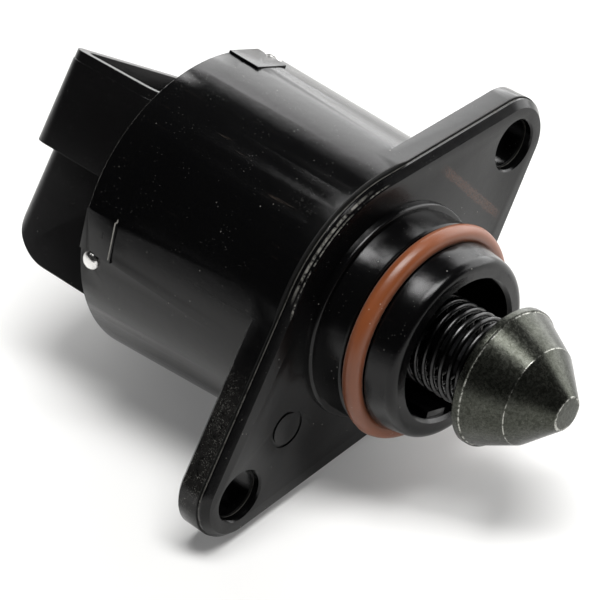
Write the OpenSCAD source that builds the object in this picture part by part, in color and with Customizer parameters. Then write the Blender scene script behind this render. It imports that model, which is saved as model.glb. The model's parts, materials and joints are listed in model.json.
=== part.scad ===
// Idle air control valve: a stepper linear actuator in a moulded two-bolt housing.
// Every piece is modelled with the valve axis upright, z = 0 on the flange's sealing face and
// +z towards the pintle tip. place() then lays the axis along +X and rolls the hole line so
// that the lower ear's flank lies level, as the valve rests on a bench.

/* [Housing] */
// Distance from the sealing face to the rear rim
body_len = 28; // [26:0.5:34]
// Outer radius of the body at its rear rim
body_r_rear = 18; // [17.5:0.1:20]
// Draft of the body: how much smaller its radius is at the mould's parting line
body_draft = 1.2; // [0.4:0.1:1.6]
// Wall of the body around the motor cavity, at the rear rim
body_wall = 2.8; // [2.4:0.05:3.2]
// Thickness of the moulded wall between the cavity and the sealing face
front_wall = 3; // [2.6:0.1:3.6]
// Height that the flat pads beside the cap pins stand proud at their middle
pad_proud = 0.12; // [0.05:0.01:0.3]
// Width of each pad across the axis
pad_w = 4.6; // [3.6:0.2:6]
// Length of each pad from the rear rim
pad_len = 4.4; // [4:0.2:6]
// Angle between a pad's middle and its pin
pad_turn = 10.6; // [9.5:0.1:14]

/* [Flange] */
// Thickness of the flange
flange_t = 4.2; // [3.6:0.1:5]
// Distance between the two bolt holes
hole_pitch = 47.6; // [46:0.2:52]
// Shift of the bolt pair from the valve axis towards the lower ear
hole_shift = 1.2; // [0:0.1:2]
// Radius of the bolt holes
bolt_hole_r = 2.9; // [2.6:0.05:3.2]
// Radius of each ear
ear_r = 5.2; // [4.8:0.1:6]
// Radius of the flange disc that the ear flanks are tangent to
disc_r = 16.4; // [15.8:0.1:16.7]
// Chamfer on the flange's front edge
front_edge = 0.7; // [0.3:0.05:0.8]
// Chamfer on the ears' back edges
back_edge = 0.45; // [0.2:0.05:0.8]
// Chamfer at the mouths of the bolt holes
hole_edge = 0.2; // [0.1:0.05:0.4]
// Step of the mould's parting line on the flange's side wall
parting_step = 0.14; // [0.05:0.01:0.25]
// Depth of the parting line behind the sealing face
parting_z = 1.1; // [0.8:0.1:1.6]
// Radius of the round cavity mark on the lower ear
mark_r = 2.2; // [1.4:0.1:2.4]
// Distance of the cavity mark from the valve axis, along the hole line
mark_y = 16.6; // [16:0.1:18]
// Shift of the cavity mark across the hole line
mark_x = 0.9; // [0:0.1:1.2]
// Depth of the cavity mark's ring
mark_depth = 0.15; // [0.1:0.05:0.3]

/* [Spigot and nose] */
// Radius of the spigot's land that centres the valve
land_r = 11.7; // [11.4:0.05:12]
// Radius of the low step between the land and the sealing face
step_r = 12.4; // [12.1:0.05:12.8]
// Height of the low step
step_h = 0.9; // [0.6:0.05:1.2]
// Rounding of the low step's edge
step_round = 0.35; // [0.2:0.05:0.5]
// Distance from the sealing face to the rear shoulder of the seal groove
gland_z = 4.3; // [3.9:0.05:4.6]
// Width of the seal groove
gland_w = 2.5; // [2.4:0.05:3.2]
// Radius of the seal groove's floor
gland_r = 10.1; // [9.8:0.05:10.2]
// Radius of the shoulder in front of the seal groove
nose_r_root = 10.75; // [10.6:0.05:11.2]
// Radius of the nose before its rounded mouth
nose_r_tip = 10.3; // [10.1:0.05:10.6]
// Distance from the sealing face to the nose's mouth
nose_z = 10.1; // [9.6:0.1:12]
// Rounding of the nose's mouth
nose_round = 1.1; // [0.6:0.1:1.2]
// Bore radius of the nose
nose_bore_r = 7.95; // [7.9:0.05:8.3]
// Distance from the sealing face to the floor that the spring sits on
spring_seat_z = 3; // [2.8:0.1:3.4]
// Thickness of that floor, in front of the bearing
floor_t = 2; // [1.6:0.1:2.4]
// Chamfer inside the nose's mouth
mouth_edge = 0.35; // [0.1:0.05:0.6]
// Width of the key rib inside the nose's bore
rib_w = 2.8; // [2:0.1:4]
// Height of the key rib
rib_h = 0.8; // [0.4:0.1:1]
// Length of the key rib along the axis
rib_len = 5; // [2:0.5:6]
// Angle of the key rib around the axis
rib_angle = 311; // [300:1:330]

/* [Seal ring] */
// Cord diameter of the seal ring
oring_cord = 2.1; // [1.9:0.05:2.2]

/* [Pintle] */
// Distance from the sealing face to the pintle's rear face
pintle_z = 15.6; // [15:0.1:17]
// Radius of the pintle's collar
collar_r = 7.72; // [7.4:0.02:7.8]
// Width of the collar
collar_w = 1; // [0.8:0.1:1.4]
// Radius where the first taper starts
taper_r = 7.5; // [7.2:0.02:7.6]
// Length of the first taper
taper_len = 4; // [3.4:0.1:5]
// Radius of the shoulder between the two tapers
shoulder_r = 5.45; // [5:0.05:6]
// Length of the nose cone
cone_len = 3.8; // [3:0.1:5]
// Radius of the flat tip
tip_r = 1.9; // [1.4:0.1:2.4]
// Depth of the spring seat in the pintle's rear face
seat_depth = 1.3; // [1:0.1:1.6]

/* [Spring] */
// Mean radius of the spring
spring_r = 4.75; // [4.5:0.05:4.9]
// Diameter of the spring wire
wire_d = 0.65; // [0.55:0.05:0.7]
// Number of turns
spring_turns = 12.5; // [9.5:0.5:13]

/* [Lead screw] */
// Outer radius of the screw's thread
screw_r = 2.4; // [2.2:0.05:2.6]
// Distance from the axis to each flat of the screw's front end
flat_half = 1.95; // [1.8:0.05:2.1]
// Room behind the screw for its travel
screw_room = 7.9; // [7.2:0.1:9]
// Radius of the screw's neck that is pressed in the pintle
neck_r = 1.8; // [1.5:0.1:2]
// Length of the neck
neck_len = 4.4; // [3:0.1:5]
// Outer radius of the guide bush
guide_r = 4; // [3.8:0.1:4.2]

/* [Stator] */
// Thickness of the stator's steel
steel_t = 1; // [0.8:0.05:1.1]
// Gap between the stator cups and the housing
cup_gap = 0.2; // [0.1:0.05:0.4]
// Radius of the circle that the claw poles stand on
claw_r = 8.2; // [8.15:0.05:8.5]
// Number of claw poles on each cup
claws = 6; // [4:1:6]
// Width of a claw pole at its root
claw_root_w = 4.2; // [3.6:0.1:4.4]
// Width of a claw pole at its tip
claw_tip_w = 2.3; // [1.6:0.1:2.8]
// Room between the claw poles' tips and the plate that they point at
claw_room = 0.8; // [0.5:0.1:2]
// Wall thickness of the bobbins
bobbin_t = 0.8; // [0.6:0.05:1]
// Room between the windings and the cup's wall
coil_room = 0.7; // [0.4:0.1:2]

/* [Rotor] */
// Outer radius of the rotor magnet
magnet_r = 7.9; // [7.6:0.02:7.92]
// Bore radius of the rotor magnet
magnet_bore_r = 5.3; // [5.2:0.05:5.8]
// Room between the bearing and the rotor magnet
magnet_room = 1.65; // [1.2:0.05:3]
// Radius of the hub's rear journal
journal_r = 3.6; // [3.4:0.05:4]

// Length of the rear bush
bush_len = 3.05; // [2.4:0.05:3.4]
// Wall of the rear bush
bush_wall = 2; // [1.4:0.1:2.4]
// Thickness of the thrust washer
washer_t = 0.2; // [0.1:0.05:0.4]

/* [Ball bearing] */
// Radius of the bearing's outside
race_outer_r = 7.2; // [7.1:0.05:7.4]
// Bore of the inner race, as a share of the bearing's outside
bore_share = 0.4722; // [0.465:0.001:0.486]
// Width of the bearing
race_w = 3.9; // [3.6:0.05:3.9]
// Diameter of the balls, as a share of the height between bore and outside
ball_share = 0.526; // [0.47:0.002:0.54]
// Number of balls
balls = 7; // [5:1:8]

/* [Rear cap and connector] */
// Thickness of the cap's disc
cap_t = 2.6; // [2.4:0.1:3]
// Length of the cap's skirt, which carries the seal
skirt_len = 2.3; // [2:0.1:2.6]
// Wall of the cap's skirt
skirt_wall = 2.5; // [2:0.1:3]
// Depth of the cap below the rear rim
cap_recess = 0.5; // [0.2:0.1:1]
// Angle from the hole line to the connector's mouth direction
conn_angle = 25; // [20:1:35]
// Width of the connector's shroud
shroud_w = 24; // [23:0.2:26]
// Depth of the shroud along the valve axis
shroud_d = 14.5; // [13.6:0.1:15]
// Distance from the valve axis to the shroud's mouth
shroud_top = 9.95; // [9.6:0.05:11]
// Height of the shroud's wide collar
shroud_h = 11; // [10.6:0.1:11.6]
// Wall thickness of the shroud
shroud_wall = 1.45; // [1.2:0.05:1.5]
// Depth of the socket
socket_deep = 9.2; // [8:0.1:9.6]
// Step between the wide collar and the narrow part below it
collar_step = 1.5; // [1:0.1:1.8]
// Distance from the valve axis to the bottom of the connector's elbow
elbow_low = 13.4; // [12.6:0.1:13.8]
// Radius of the elbow's rounded bottom corner
elbow_round = 6.5; // [5:0.5:7.5]
// Rounding of the elbow's upright corners
elbow_edge = 2.2; // [1.5:0.1:3]
// Gap between the rear rim and the shroud
shroud_gap = 1.7; // [1.2:0.1:2.5]
// Rounding of the shroud's upright corners
shroud_round = 2.6; // [2:0.1:3]
// Rounding of the socket's upright corners
socket_round = 1.4; // [0.6:0.1:1.8]
// Number of terminals
terminals = 4; // [2:1:4]
// Distance between terminals
terminal_pitch = 4.6; // [4.2:0.1:5]
// Width of a terminal blade
blade_w = 1.5; // [1.2:0.1:1.8]
// Thickness of a terminal blade
blade_t = 0.8; // [0.6:0.05:0.8]
// Length of the blades that shows in the socket
blade_free = 7.4; // [6:0.1:7.8]

/* [Cap pins] */
// Radius of the pins that hold the cap
pin_r = 1.1; // [0.9:0.05:1.2]
// Distance of the pins from the rear rim
pin_z = 1.8; // [1.75:0.05:1.95]
// Angle from the plug's direction to the first pin
pin_first = 3; // [2:0.5:5]
// Angle between the two upper pins; the third is opposite their middle
pin_spread = 115.5; // [110:0.5:120]

/* [Hidden] */
$fn = 96;

// Clearances
run_gap = 0.05;      // radial gap of a shaft that turns or slides in its bore
face_gap = 0.05;     // axial gap between faces that slide on each other
loose_gap = 0.1;     // gap of a piece dropped in its seat
bore_gap = 0.25;     // gap of the rotor's passages around the screw
cut = 1;             // overrun of cutting shapes past a face
eps = 0.01;
flank_sink = 0.02;   // flanks lie this far inside the tangent, so they cut the round ends cleanly

// Ears and the roll that levels the lower flank
ear_up = hole_pitch / 2 - hole_shift;
ear_down = -hole_pitch / 2 - hole_shift;
function flank_angle(d) = asin((disc_r - ear_r) / abs(d));
roll = flank_angle(ear_down);

// Radii that follow from the body
body_r_front = body_r_rear - body_draft;
cavity_r = body_r_rear - body_wall;
cap_r = cavity_r - loose_gap;
cup_r = cavity_r - cup_gap;
cup_in_r = cup_r - steel_t;
coil_r = cup_in_r - coil_room;

// Bearing
race_bore_r = race_outer_r * bore_share;
race_height = race_outer_r - race_bore_r;
ball_r = race_height * ball_share / 2;
pitch_r = (race_bore_r + race_outer_r) / 2;
groove_gap = 0.06;
land_half = 0.55 * ball_r;

// Stations along the axis
cavity_z = -front_wall;
pocket_z = spring_seat_z - floor_t;
cap_z = -body_len + cap_recess;
cap_inner = cap_z + cap_t;
phase_len = (body_len - front_wall - cap_recess - cap_t - skirt_len) / 2;
claw_len = phase_len - 2 * steel_t - claw_room;
stack_mid = cavity_z - phase_len;
stack_end = cavity_z - 2 * phase_len;
bearing_z = pocket_z - loose_gap / 2;
bearing_mid = bearing_z - race_w / 2;
bearing_end = bearing_z - race_w;
magnet_front = bearing_end - magnet_room;
hub_flange_t = 0.4;
bush_front = cap_inner + bush_len;
washer_front = bush_front + washer_t;
hub_shoulder_rear = washer_front + face_gap;
hub_flange_rear = hub_shoulder_rear + hub_flange_t;
magnet_rear = hub_flange_rear + hub_flange_t;
bush_end = cap_inner + 0.5;
screw_z = cap_inner + screw_room;
pin_axis_z = -body_len + pin_z;
rim_edge = 0.3;

// Cap pins, as angles from the build frame's x axis
pin_angles = [for (a = [0, pin_spread, pin_spread / 2 + 180]) conn_angle + 90 + pin_first + a];
pin_depth = 2.4;
pin_sink = 0.05;
pin_head_r = pin_r + 0.16;

// Pintle
tip_z = pintle_z + collar_w + taper_len + cone_len;
spring_end = pintle_z + seat_depth;
spring_len = spring_end - spring_seat_z - wire_d;
seat_r = spring_r + wire_d / 2 + 0.25;

// Connector
shroud_front = -body_len - shroud_gap;
shroud_rear = shroud_front - shroud_d;
shroud_mid = (shroud_front + shroud_rear) / 2;
socket_floor = shroud_top - socket_deep;
shroud_low = shroud_top - shroud_h;
rim_plane = -body_len - loose_gap;
leg_y = -0.6 * cap_r;
leg_end = cap_inner + 1.4;
blade_top = socket_floor + blade_free;

// Lays the valve's axis along +X, levels the lower ear's flank and centres the bolt pair
module place() {
    rotate([roll, 0, 0])
        rotate([0, 90, 0])
            translate([0, hole_shift, 0])
                children();
}

// Turns the connector's own frame, whose +y is the mouth's direction
module turn_connector() {
    rotate([0, 0, conn_angle])
        children();
}

// Ring of a given length, centred on the axis
module ring(r_out, r_in, z_low, z_high) {
    translate([0, 0, z_low])
        linear_extrude(z_high - z_low)
            difference() {
                circle(r_out);
                circle(r_in);
            }
}

// Round body between two planes
module drum(r, z_low, z_high) {
    translate([0, 0, z_low])
        cylinder(r = r, h = z_high - z_low);
}

// Corners of one ear's flat flanks, drawn in by an inset
function flank_points(d, inset) =
    let (a = flank_angle(d),
         s = sign(d),
         rd = disc_r - inset - flank_sink,
         re = ear_r - inset - flank_sink)
    [
        [rd * cos(a), s * rd * sin(a)],
        [re * cos(a), d + s * re * sin(a)],
        [-re * cos(a), d + s * re * sin(a)],
        [-rd * cos(a), s * rd * sin(a)]
    ];

// Layer of the flange between two planes, with chamfers on the planes that ask for them
module flange_layer(z_low, z_high, inset, edge_low, edge_high) {
    for (d = [ear_up, ear_down]) {
        hull() {
            translate([0, 0, z_low + edge_low])
                linear_extrude(z_high - z_low - edge_low - edge_high)
                    polygon(flank_points(d, inset));
            translate([0, 0, z_low])
                linear_extrude(z_high - z_low)
                    polygon(flank_points(d, inset + max(edge_low, edge_high)));
        }
        translate([0, d, 0])
            edged_drum(ear_r - inset, z_low, z_high, edge_low, edge_high);
    }
    edged_drum(disc_r - inset, z_low, z_high, 0, edge_high);
}

// Drum with chamfered rims
module edged_drum(r, z_low, z_high, edge_low, edge_high) {
    rotate_extrude()
        polygon([
            [0, z_low],
            [r - edge_low, z_low],
            [r, z_low + edge_low],
            [r, z_high - edge_high],
            [r - edge_high, z_high],
            [0, z_high]
        ]);
}

// Flange plate with the mould's parting step on its side wall
module flange_plate() {
    flange_layer(-flange_t, -parting_z, 0, back_edge, 0);
    flange_layer(-parting_z, 0, parting_step, 0, front_edge);
}

// Outside of the body, from the rear rim to the parting line
module body_shell() {
    rotate_extrude()
        polygon([
            [0, -body_len],
            [body_r_rear - rim_edge, -body_len],
            [body_r_rear, -body_len + rim_edge],
            [body_r_front, -parting_z],
            [0, -parting_z]
        ]);
}

// Flat pads that stand proud beside the two upper cap pins
module rim_pads() {
    draft = atan(body_draft / (body_len - parting_z));
    depth = 1;
    for (a = [pin_angles[0] + pad_turn, pin_angles[1] - pad_turn])
        rotate([0, 0, a])
            translate([body_r_rear, 0, -body_len + rim_edge])
                rotate([0, -draft, 0])
                    translate([-depth, -pad_w / 2, 0])
                        cube([depth + pad_proud, pad_w, pad_len]);
}

// Half section of the spigot, the seal groove and the nose
module spigot_profile() {
    land_edge = 0.2;
    polygon([
        [0, -front_edge],
        [step_r, -front_edge],
        [step_r, step_h - step_round],
        [step_r - step_round, step_h],
        [land_r, step_h],
        [land_r, gland_z - land_edge],
        [land_r - land_edge, gland_z],
        [gland_r, gland_z],
        [gland_r, gland_z + gland_w],
        [nose_r_root, gland_z + gland_w],
        [nose_r_tip, nose_z - nose_round],
        [nose_r_tip - nose_round, nose_z],
        [0, nose_z]
    ]);
    translate([step_r - step_round, step_h - step_round])
        circle(step_round);
    translate([nose_r_tip - nose_round, nose_z - nose_round])
        circle(nose_round);
}

// Bore of the nose, less the key rib that stands in it
module nose_bore() {
    rib_sink = mouth_edge + 0.3;
    difference() {
        rotate_extrude()
            polygon([
                [0, spring_seat_z],
                [nose_bore_r, spring_seat_z],
                [nose_bore_r, nose_z - mouth_edge],
                [nose_bore_r + mouth_edge + cut, nose_z + cut],
                [0, nose_z + cut]
            ]);
        rotate([0, 0, rib_angle])
            translate([nose_bore_r - rib_h, -rib_w / 2, nose_z - rib_sink - rib_len])
                cube([2 * rib_h, rib_w, rib_len]);
    }
}

// Bolt hole with chamfered mouths
module bolt_hole() {
    drum(bolt_hole_r, -flange_t - cut, cut);
    translate([0, 0, -hole_edge])
        cylinder(r1 = bolt_hole_r, r2 = bolt_hole_r + hole_edge, h = hole_edge);
    translate([0, 0, -flange_t])
        cylinder(r1 = bolt_hole_r + hole_edge, r2 = bolt_hole_r, h = hole_edge);
}

// Shape of one cap pin, along +x at the pin's height
module pin_shape(r, x_in, x_out) {
    translate([x_in, 0, pin_axis_z])
        rotate([0, 90, 0])
            cylinder(r = r, h = x_out - x_in);
}

// Repeats a shape for each cap pin
module each_pin() {
    for (a = pin_angles)
        rotate([0, 0, a])
            children();
}

// Moulded housing: body, flange, spigot and nose in one piece
module housing() {
    color([0.06, 0.06, 0.065])
        place()
            difference() {
                union() {
                    body_shell();
                    rim_pads();
                    flange_plate();
                    rotate_extrude()
                        spigot_profile();
                }
                drum(cavity_r, -body_len - cut, cavity_z);
                drum(race_outer_r, cavity_z - eps, pocket_z);
                drum(guide_r, pocket_z - eps, spring_seat_z + eps);
                nose_bore();
                for (d = [ear_up, ear_down])
                    translate([0, d, 0])
                        bolt_hole();
                translate([-mark_x, -mark_y, 0])
                    ring(mark_r, mark_r - 0.35, -mark_depth, cut);
                each_pin()
                    pin_shape(pin_r, cavity_r - cut, body_r_rear + cut);
                each_pin()
                    pin_shape(pin_head_r, body_r_rear - pin_sink, body_r_rear + cut);
            }
}

// Rubber ring in the seal groove
module o_ring() {
    color([0.72, 0.32, 0.16])
        place()
            translate([0, 0, gland_z + gland_w / 2])
                rotate_extrude()
                    translate([gland_r + oring_cord / 2, 0])
                        circle(oring_cord / 2);
}

// Plate with rounded corners, centred across x
module rounded_plate(w, y_low, y_high, r) {
    for (x = [-w / 2 + r, w / 2 - r])
        for (y = [y_low + r, y_high - r])
            translate([x, y])
                circle(r);
    translate([-w / 2 + r, y_low])
        square([w - 2 * r, y_high - y_low]);
    translate([-w / 2, y_low + r])
        square([w, y_high - y_low - 2 * r]);
}

// Upright block over a rounded plate that spans two places along the valve's axis
module upright(w, z_front, z_rear, r, y_low, y_high) {
    rotate([-90, 0, 0])
        translate([0, 0, y_low])
            linear_extrude(y_high - y_low)
                rounded_plate(w, -z_front, -z_rear, r);
}

// Side view of the elbow, with its rounded bottom corner
module elbow_side() {
    rear = shroud_rear + collar_step;
    top = shroud_low + collar_step / 2;
    translate([-elbow_low + elbow_round, rear])
        square([top + elbow_low - elbow_round, rim_plane - rear]);
    translate([-elbow_low, rear + elbow_round])
        square([top + elbow_low, rim_plane - rear - elbow_round]);
    translate([-elbow_low + elbow_round, rear + elbow_round])
        circle(elbow_round);
}

// Elbow below the shroud
module elbow() {
    half_w = shroud_w / 2 - collar_step;
    rear = shroud_rear + collar_step;
    intersection() {
        rotate([90, 0, 90])
            translate([0, 0, -half_w])
                linear_extrude(2 * half_w)
                    elbow_side();
        upright(2 * half_w, rim_plane + elbow_edge + cut, rear, elbow_edge, -elbow_low - cut, shroud_low + cut);
    }
}

// Neck of the elbow, inside the rear rim
module elbow_neck() {
    half_w = shroud_w / 2 - collar_step;
    translate([0, 0, rim_plane - eps])
        linear_extrude(cap_z - rim_plane + 2 * eps)
            intersection() {
                circle(cap_r - loose_gap);
                translate([-half_w, -elbow_low])
                    square([2 * half_w, elbow_low + shroud_low]);
            }
}

// Wide collar of the connector, with a narrow step under its rim
module shroud() {
    rim_h = 1.1;
    rim_step = 0.08;
    upright(shroud_w, shroud_front, shroud_rear, shroud_round, shroud_low, shroud_top - rim_h);
    upright(shroud_w - 2 * rim_step, shroud_front - rim_step, shroud_rear + rim_step,
        shroud_round - rim_step, shroud_low, shroud_top);
}

// Socket that the mating plug goes into
module socket() {
    upright(shroud_w - 2 * shroud_wall, shroud_front - shroud_wall, shroud_rear + shroud_wall,
        socket_round, socket_floor, shroud_top + cut);
}

// One terminal: a blade in the socket and a leg through the cap
module terminal_shape(x) {
    translate([x - blade_w / 2, leg_y, shroud_mid - blade_t / 2])
        cube([blade_w, blade_top - leg_y, blade_t]);
    translate([x - blade_w / 2, leg_y, shroud_mid - blade_t / 2])
        cube([blade_w, blade_t, leg_end - shroud_mid + blade_t / 2]);
}

function terminal_x(i) = (i - (terminals - 1) / 2) * terminal_pitch;

seal_cord = 1.1;
seal_groove_r = cap_r - seal_cord + 0.1;
bush_r = journal_r + bush_wall;
boss_r = bush_r + 1.75;

// Rear cap with the connector moulded on
module connector_cap() {
    seal_mid = (cap_inner + stack_end) / 2;
    color([0.07, 0.07, 0.075])
        place()
            difference() {
                union() {
                    drum(cap_r, cap_z, cap_inner);
                    ring(cap_r, cap_r - skirt_wall, cap_inner - eps, stack_end);
                    ring(boss_r, bush_r, cap_inner - eps, bush_front);
                    turn_connector() {
                        elbow();
                        elbow_neck();
                        shroud();
                    }
                }
                ring(cap_r + cut, seal_groove_r, seal_mid - 0.65, seal_mid + 0.65);
                each_pin()
                    pin_shape(pin_r, cap_r - pin_depth, cap_r + cut);
                turn_connector() {
                    socket();
                    for (i = [0 : terminals - 1])
                        terminal_shape(terminal_x(i));
                }
            }
}

// Rubber ring between the cap and the housing
module cap_seal() {
    seal_mid = (cap_inner + stack_end) / 2;
    color([0.12, 0.12, 0.12])
        place()
            translate([0, 0, seal_mid])
                rotate_extrude()
                    translate([seal_groove_r + seal_cord / 2, 0])
                        circle(seal_cord / 2);
}

// Steel pins through the rim into the cap
module cap_pins() {
    dome = 0.5;
    color([0.75, 0.75, 0.76])
        place()
            each_pin() {
                pin_shape(pin_r, cap_r - pin_depth, body_r_rear - pin_sink);
                translate([body_r_rear - pin_sink - 0.001, 0, pin_axis_z])
                    rotate([0, 90, 0])
                        rotate_extrude()
                            polygon([
                                [0, 0],
                                [pin_r, 0],
                                [pin_r * 0.75, dome * 0.7],
                                [pin_r * 0.4, dome],
                                [0, dome]
                            ]);
            }
}

// Terminal by number
module terminal(i) {
    if (i < terminals)
        color([0.8, 0.8, 0.78])
            place()
                turn_connector()
                    terminal_shape(terminal_x(i));
}

// Claw pole that grows from z = 0 by its length
module claw() {
    intersection() {
        ring(claw_r + steel_t, claw_r, -eps, claw_len + eps);
        rotate([90, 0, 90])
            linear_extrude(claw_r + 2 * steel_t)
                polygon([
                    [-claw_root_w / 2, -eps],
                    [claw_root_w / 2, -eps],
                    [claw_tip_w / 2, claw_len],
                    [-claw_tip_w / 2, claw_len]
                ]);
    }
}

// Ring of claw poles, with an offset in claw pitches
module claw_ring(offset) {
    for (i = [0 : claws - 1])
        rotate([0, 0, (i + offset) * 360 / claws])
            claw();
}

// Drawn cup of one phase, with its plate at z = 0 and its claws towards +z
module outer_cup(hole_r) {
    difference() {
        union() {
            ring(cup_r, hole_r, 0, steel_t);
            ring(cup_r, cup_in_r, 0, phase_len);
            translate([0, 0, steel_t])
                claw_ring(0);
        }
        drum(hole_r, -cut, steel_t);
    }
}

// Flat pole plate of one phase, with its claws towards +z
module inner_cup() {
    ring(cup_in_r - run_gap, claw_r, 0, steel_t);
    translate([0, 0, steel_t])
        claw_ring(0.5);
}

// Turns a phase over, so that its plate faces the front
module face_front(z) {
    translate([0, 0, z])
        mirror([0, 0, 1])
            children();
}

steel_color = [0.62, 0.63, 0.65];

module front_outer_cup() {
    color(steel_color)
        place()
            face_front(cavity_z)
                outer_cup(race_outer_r - 0.8);
}

module front_inner_cup() {
    color(steel_color)
        place()
            translate([0, 0, stack_mid])
                inner_cup();
}

module rear_inner_cup() {
    color(steel_color)
        place()
            face_front(stack_mid)
                inner_cup();
}

module rear_outer_cup() {
    color(steel_color)
        place()
            translate([0, 0, stack_end])
                outer_cup(boss_r + loose_gap);
}

// Coil former between a cup's plate and the pole plate
module bobbin(z_low, z_high) {
    bore_r = claw_r + steel_t + loose_gap;
    color([0.85, 0.84, 0.8])
        place() {
            ring(bore_r + bobbin_t, bore_r, z_low, z_high);
            ring(cup_in_r - loose_gap, bore_r, z_low, z_low + bobbin_t);
            ring(cup_in_r - loose_gap, bore_r, z_high - bobbin_t, z_high);
        }
}

// Copper winding on a bobbin
module coil(z_low, z_high) {
    bore_r = claw_r + steel_t + loose_gap;
    color([0.72, 0.4, 0.18])
        place()
            ring(coil_r, bore_r + bobbin_t, z_low + bobbin_t, z_high - bobbin_t);
}

front_low = stack_mid + steel_t + loose_gap / 2;
front_high = cavity_z - steel_t - loose_gap / 2;
rear_low = stack_end + steel_t + loose_gap / 2;
rear_high = stack_mid - steel_t - loose_gap / 2;

// Race groove that the balls run in
module groove() {
    translate([pitch_r, bearing_mid])
        circle(ball_r + groove_gap);
}

module bearing_outer_race() {
    color([0.7, 0.71, 0.73])
        place()
            rotate_extrude()
                difference() {
                    translate([pitch_r + land_half, bearing_end])
                        square([race_outer_r - pitch_r - land_half, race_w]);
                    groove();
                }
}

module bearing_inner_race() {
    color([0.7, 0.71, 0.73])
        place()
            rotate_extrude()
                difference() {
                    translate([race_bore_r, bearing_end])
                        square([pitch_r - land_half - race_bore_r, race_w]);
                    groove();
                }
}

module bearing_balls() {
    color([0.8, 0.8, 0.82])
        place()
            for (i = [0 : balls - 1])
                rotate([0, 0, i * 360 / balls])
                    translate([pitch_r, 0, bearing_mid])
                        sphere(ball_r);
}

// Cage ring that spaces the balls
module bearing_cage() {
    cage_half = land_half - 0.1;
    cage_reach = 1.4 * ball_r;
    pocket_gap = 0.03;
    color([0.75, 0.62, 0.3])
        place()
            difference() {
                ring(pitch_r + cage_half, pitch_r - cage_half, bearing_mid - cage_reach, bearing_mid + cage_reach);
                for (i = [0 : balls - 1])
                    rotate([0, 0, i * 360 / balls])
                        translate([race_bore_r, 0, bearing_mid])
                            rotate([0, 90, 0])
                                cylinder(r = ball_r + pocket_gap, h = race_height);
            }
}

// Sleeve in the cap that the hub's rear journal turns in
module rear_bush() {
    color([0.7, 0.55, 0.3])
        place()
            ring(bush_r, journal_r + run_gap, cap_inner, bush_front);
}

// Washer between the rear bush and the hub
module thrust_washer() {
    color([0.72, 0.73, 0.75])
        place()
            ring(bush_r - 0.4, journal_r + 0.2, bush_front, washer_front);
}

module rotor_magnet() {
    color([0.2, 0.2, 0.21])
        place()
            ring(magnet_r, magnet_bore_r, magnet_rear, magnet_front);
}

// Moulded hub: front journal, core, rear journal and the nut bore
module rotor_hub() {
    nut_rear = screw_z + 1;
    nut_front = magnet_front - 1.4;
    wide_r = screw_r + bore_gap;
    nut_r = screw_r + run_gap;
    core_r = magnet_bore_r;
    flange_r = magnet_r - 0.9;
    color([0.2, 0.22, 0.25])
        place()
            rotate_extrude()
                polygon([
                    [wide_r, bush_end],
                    [journal_r, bush_end],
                    [journal_r, hub_shoulder_rear],
                    [journal_r + 1, hub_shoulder_rear],
                    [journal_r + 1, hub_flange_rear],
                    [flange_r, hub_flange_rear],
                    [flange_r, magnet_rear],
                    [core_r, magnet_rear],
                    [core_r, magnet_front],
                    [race_bore_r + 0.8, magnet_front],
                    [race_bore_r + 0.8, bearing_end],
                    [race_bore_r, bearing_end],
                    [race_bore_r, bearing_z],
                    [wide_r, bearing_z],
                    [wide_r, nut_front],
                    [nut_r, nut_front],
                    [nut_r, nut_rear],
                    [wide_r, nut_rear]
                ]);
}

flats_start = -2.5;

// Two flats that keep the screw from turning
module flats(z_low, z_high, half) {
    for (s = [-1, 1])
        translate([s > 0 ? half : -half - screw_r, -2 * screw_r, z_low])
            cube([screw_r, 4 * screw_r, z_high - z_low]);
}

// Screw that pushes the pintle: threaded rear end, flatted front end
module lead_screw() {
    screw_front = spring_end;
    tip_edge = 0.4;
    color([0.66, 0.67, 0.69])
        place() {
            difference() {
                rotate_extrude()
                    polygon([
                        [0, screw_z],
                        [screw_r - tip_edge, screw_z],
                        [screw_r, screw_z + tip_edge],
                        [screw_r, screw_front],
                        [0, screw_front]
                    ]);
                flats(flats_start, screw_front + cut, flat_half);
            }
            drum(neck_r, screw_front - eps, screw_front + neck_len);
        }
}

// Bush in the nose's floor whose flatted hole guides the screw
module guide_bush() {
    color([0.82, 0.8, 0.7])
        place()
            difference() {
                drum(guide_r, pocket_z, spring_seat_z);
                intersection() {
                    drum(screw_r + run_gap, pocket_z - cut, spring_seat_z + cut);
                    translate([-flat_half - run_gap, -2 * screw_r, pocket_z - cut])
                        cube([2 * (flat_half + run_gap), 4 * screw_r, spring_seat_z - pocket_z + 2 * cut]);
                }
            }
}

// Turned valve head with a collar, two tapers and a flat tip
module pintle() {
    edge = 0.25;
    color([0.32, 0.33, 0.3])
        place()
            rotate_extrude()
                polygon([
                    [neck_r, spring_end],
                    [seat_r, spring_end],
                    [seat_r, pintle_z],
                    [collar_r - edge, pintle_z],
                    [collar_r, pintle_z + edge],
                    [collar_r - 0.02, pintle_z + collar_w - 0.1],
                    [taper_r, pintle_z + collar_w],
                    [shoulder_r, pintle_z + collar_w + taper_len],
                    [tip_r + 0.1, tip_z - 0.08],
                    [tip_r, tip_z],
                    [0, tip_z],
                    [0, spring_end + neck_len],
                    [neck_r, spring_end + neck_len]
                ]);
}

// Height of the spring's centre line at a turn, closed over the first and last turns
closed_turns = 1;
closed_pitch = wire_d * 1.06;
open_pitch = (spring_len - 2 * closed_turns * closed_pitch) / (spring_turns - 2 * closed_turns);
function wire_height(t) =
    t < closed_turns ? t * closed_pitch
    : t > spring_turns - closed_turns ? spring_len - (spring_turns - t) * closed_pitch
    : closed_turns * closed_pitch + (t - closed_turns) * open_pitch;

wire_steps = 16;
wire_sides = 8;

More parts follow.
